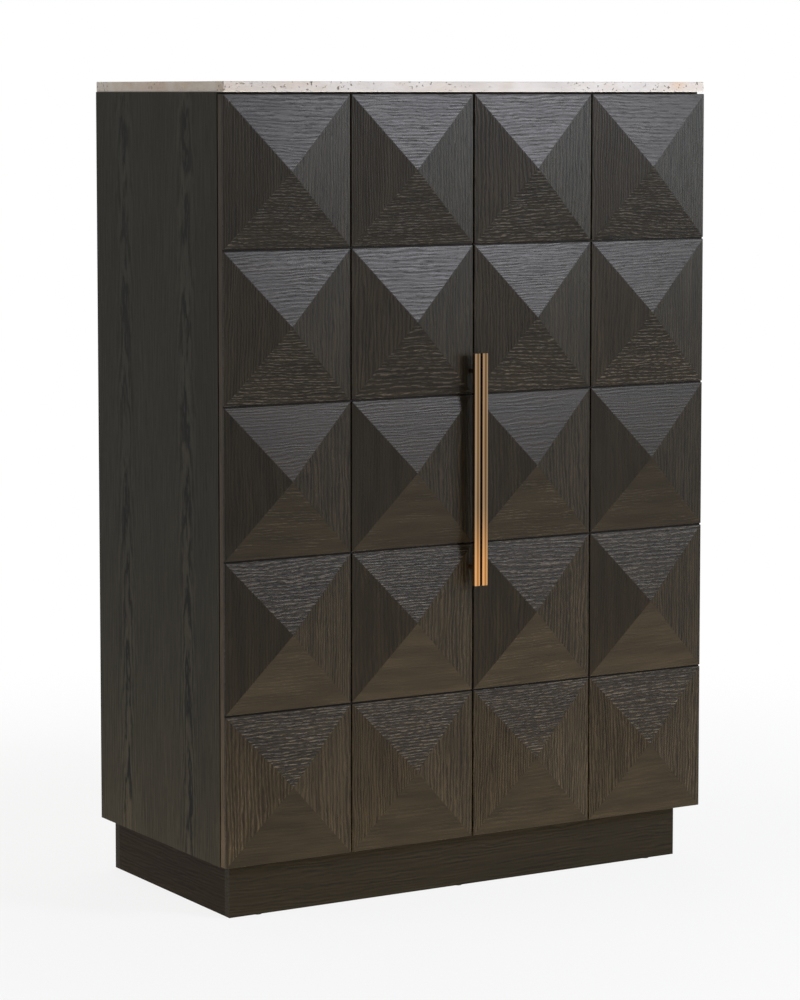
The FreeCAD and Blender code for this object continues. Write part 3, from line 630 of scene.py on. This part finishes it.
# floor, light and camera
studio = {
    "floor": 30.0, "floorColour": seen(240, 239, 237), "floorRoughness": 0.9,
    "whiteness": (0.86, 1.0), "fade": (0.9, 2.6), "white": (1, 1, 1, 1), "ambient": 0.03,
    "bounce": (1.0, 0.81, 0.5, 1.0), "bounceGlow": (4.9, 0.06), "bounceReach": (0.7, 1.0),
    "bouncePlace": (0.08, -0.22, 0.0), "bounceShape": (0.75, 1.0, 1.0),
}


# 1 for the rays that show the studio itself: straight to the camera, in gloss or seen through a piece
def whereShown(tree):
    path = addNode(tree, "LightPath", {}).outputs
    direct = maths(tree, "MAXIMUM", path["Is Camera Ray"], path["Is Glossy Ray"])
    return maths(tree, "MAXIMUM", direct, path["Is Transmission Ray"])


# shown white, with the object's shadow near it; to the rays that light the object it glows warm close by,
# an emitted stand-in for the light the floor throws back
def buildFloorFinish():
    style = studio
    material, tree, shader = newMaterial("paleFloor")
    fillSockets(tree, shader, {"Base Color": style["floorColour"], "Roughness": style["floorRoughness"],
                               "Specular IOR Level": 0.0})
    place = objectPlace(tree)
    shown = whereShown(tree)
    away = vectorMaths(tree, "LENGTH", place)["Value"]
    cover = maths(tree, "MULTIPLY", remap(tree, away, *style["fade"], *style["whiteness"]), shown)
    white = addNode(tree, "Emission", {"Color": style["white"], "Strength": 1.0}).outputs[0]
    seenFloor = addNode(tree, "MixShader", {0: cover, 1: shader.outputs[0], 2: white}).outputs[0]

    offset = vectorMaths(tree, "SUBTRACT", place, style["bouncePlace"])["Vector"]
    oval = vectorMaths(tree, "MULTIPLY", offset, style["bounceShape"])["Vector"]
    apart = vectorMaths(tree, "LENGTH", oval)["Value"]
    glow = remap(tree, apart, *style["bounceReach"], *style["bounceGlow"])
    unseen = maths(tree, "MULTIPLY", glow, maths(tree, "SUBTRACT", 1.0, shown))
    bounce = addNode(tree, "Emission", {"Color": style["bounce"], "Strength": unseen}).outputs[0]
    both = addNode(tree, "AddShader", {0: seenFloor, 1: bounce}).outputs[0]
    fillSockets(tree, tree.nodes["Material Output"], {"Surface": both})
    material.cycles.emission_sampling = "NONE"
    return material


def buildFloor():
    shape = bmesh.new()
    bmesh.ops.create_grid(shape, x_segments=1, y_segments=1, size=studio["floor"])
    mesh = bpy.data.meshes.new("floor")
    shape.to_mesh(mesh)
    shape.free()
    mesh.materials.append(buildFloorFinish())
    floor = bpy.data.objects.new("floor", mesh)
    bpy.context.scene.collection.objects.link(floor)


def buildWorld():
    world = bpy.data.worlds.new("studio")
    world.use_nodes = True
    tree = world.node_tree
    strength = maths(tree, "MAXIMUM", whereShown(tree), studio["ambient"])
    fillSockets(tree, tree.nodes["Background"], {"Color": studio["white"], "Strength": strength})
    bpy.context.scene.world = world


lamps = {
    "softboxRight": {"place": (2.9, -4.75, 2.62), "aim": (0, -0.25, 1.1), "size": (1.2, 1.3),
                     "glow": 48.5, "colour": (0.87, 0.89, 1.0)},
    "panelRight": {"place": (3.5, -2.6, 1.75), "aim": (0, -0.25, 1.1), "size": (1.6, 1.2),
                   "glow": 7.6, "colour": (0.8, 0.92, 1.0)},
    "panelLeft": {"place": (-4.2, 0.9, 2.3), "aim": (-0.55, 0, 1.2), "size": (2.0, 1.4),
                  "glow": 5.0, "colour": (1.0, 0.95, 0.89)},
    "panelTop": {"place": (0.0, 0.4, 3.9), "aim": (0.0, 0.4, 1.6), "size": (2.0, 1.2),
                 "glow": 4.6, "colour": (1.0, 0.99, 0.97)},
    "panelBehind": {"place": (2.6, 4.2, 2.4), "aim": (0.1, 0.2, 0.8), "size": (2.6, 2.2),
                    "glow": 3.0, "colour": (0.97, 0.98, 1.0)},
}


def buildLamp(name, lamp):
    light = bpy.data.lights.new(name, "AREA")
    light.shape = "RECTANGLE"
    width, height = lamp["size"]
    light.size = width
    light.size_y = height
    light.color = lamp["colour"]
    light.energy = lamp["glow"] * math.pi * width * height  # watts for that radiance
    holder = bpy.data.objects.new(name, light)
    bpy.context.scene.collection.objects.link(holder)
    holder.visible_camera = False
    holder.location = lamp["place"]
    holder.rotation_euler = (Vector(lamp["aim"]) - holder.location).to_track_quat("-Z", "Y").to_euler()


cameraView = {
    "place": (-3.443, -5.680, 1.569), "yaw": 31.109, "pitch": -4.962, "lens": 119.23, "shiftY": -0.12,
}


def buildCamera():
    style = cameraView
    data = bpy.data.cameras.new("camera")
    data.lens = style["lens"]
    data.shift_y = style["shiftY"]
    camera = bpy.data.objects.new("camera", data)
    bpy.context.scene.collection.objects.link(camera)
    camera.location = style["place"]
    camera.rotation_euler = (math.radians(90 + style["pitch"]), 0, math.radians(-style["yaw"]))
    bpy.context.scene.camera = camera


buildFloor()
buildWorld()
for name, lamp in lamps.items():
    buildLamp(name, lamp)
buildCamera()
bpy.context.scene.view_settings.view_transform = "Standard"
print("studio ready")
